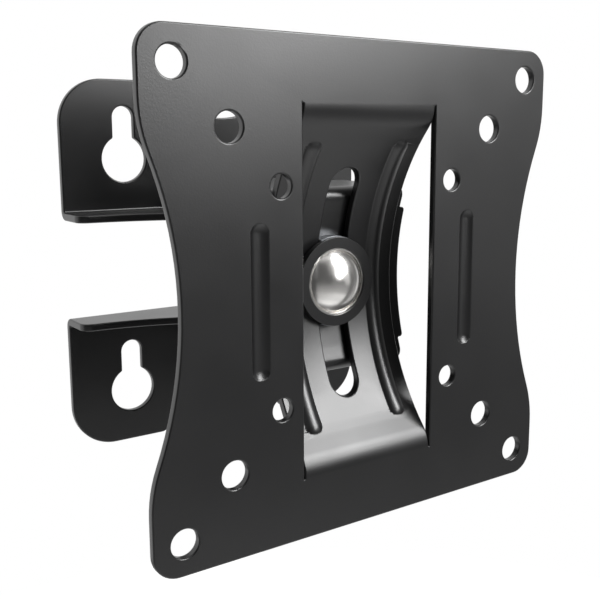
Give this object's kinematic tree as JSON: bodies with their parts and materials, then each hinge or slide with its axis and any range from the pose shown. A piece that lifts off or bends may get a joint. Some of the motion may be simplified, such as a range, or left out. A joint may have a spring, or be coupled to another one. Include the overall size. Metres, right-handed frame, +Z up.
{
  "type": "tilting tv wall mount",
  "caption": "Small black steel wall mount for a flat screen: a waisted screen plate tilts on an arched strap, clamped by a domed bolt to a folded wall bracket with keyholes.",
  "frame": {"origin": "centre of the four keyholes, on the wall plane", "axes": "+Z up, +Y into the wall, the screen side of the tilt plate faces -Y, +X to the right seen from the screen side"},
  "size_m": [0.1148, 0.0735, 0.1148],
  "materials": {
    "coated_steel": "fine black powder coat",
    "black_steel": "satin black",
    "polished_steel": "polished",
    "zinc_steel": "bright zinc"
  },
  "bodies": {
    "bracket": {"wall_bracket": "coated_steel", "clamp_ring": "black_steel", "cup_washer": "polished_steel", "guide_block": "zinc_steel", "tilt_bolt": "polished_steel", "flat_washer": "zinc_steel", "spring_washer": "zinc_steel", "lock_nut": "zinc_steel"},
    "plate": {"tilt_plate": "coated_steel"}
  },
  "joints": [
    {"name": "tilt", "type": "hinge", "parent": "bracket", "child": "plate", "pos_m": [0, -0.11345, 0.00325], "axis": [1, 0, 0], "range_deg": [-15, 15]}
  ]
}
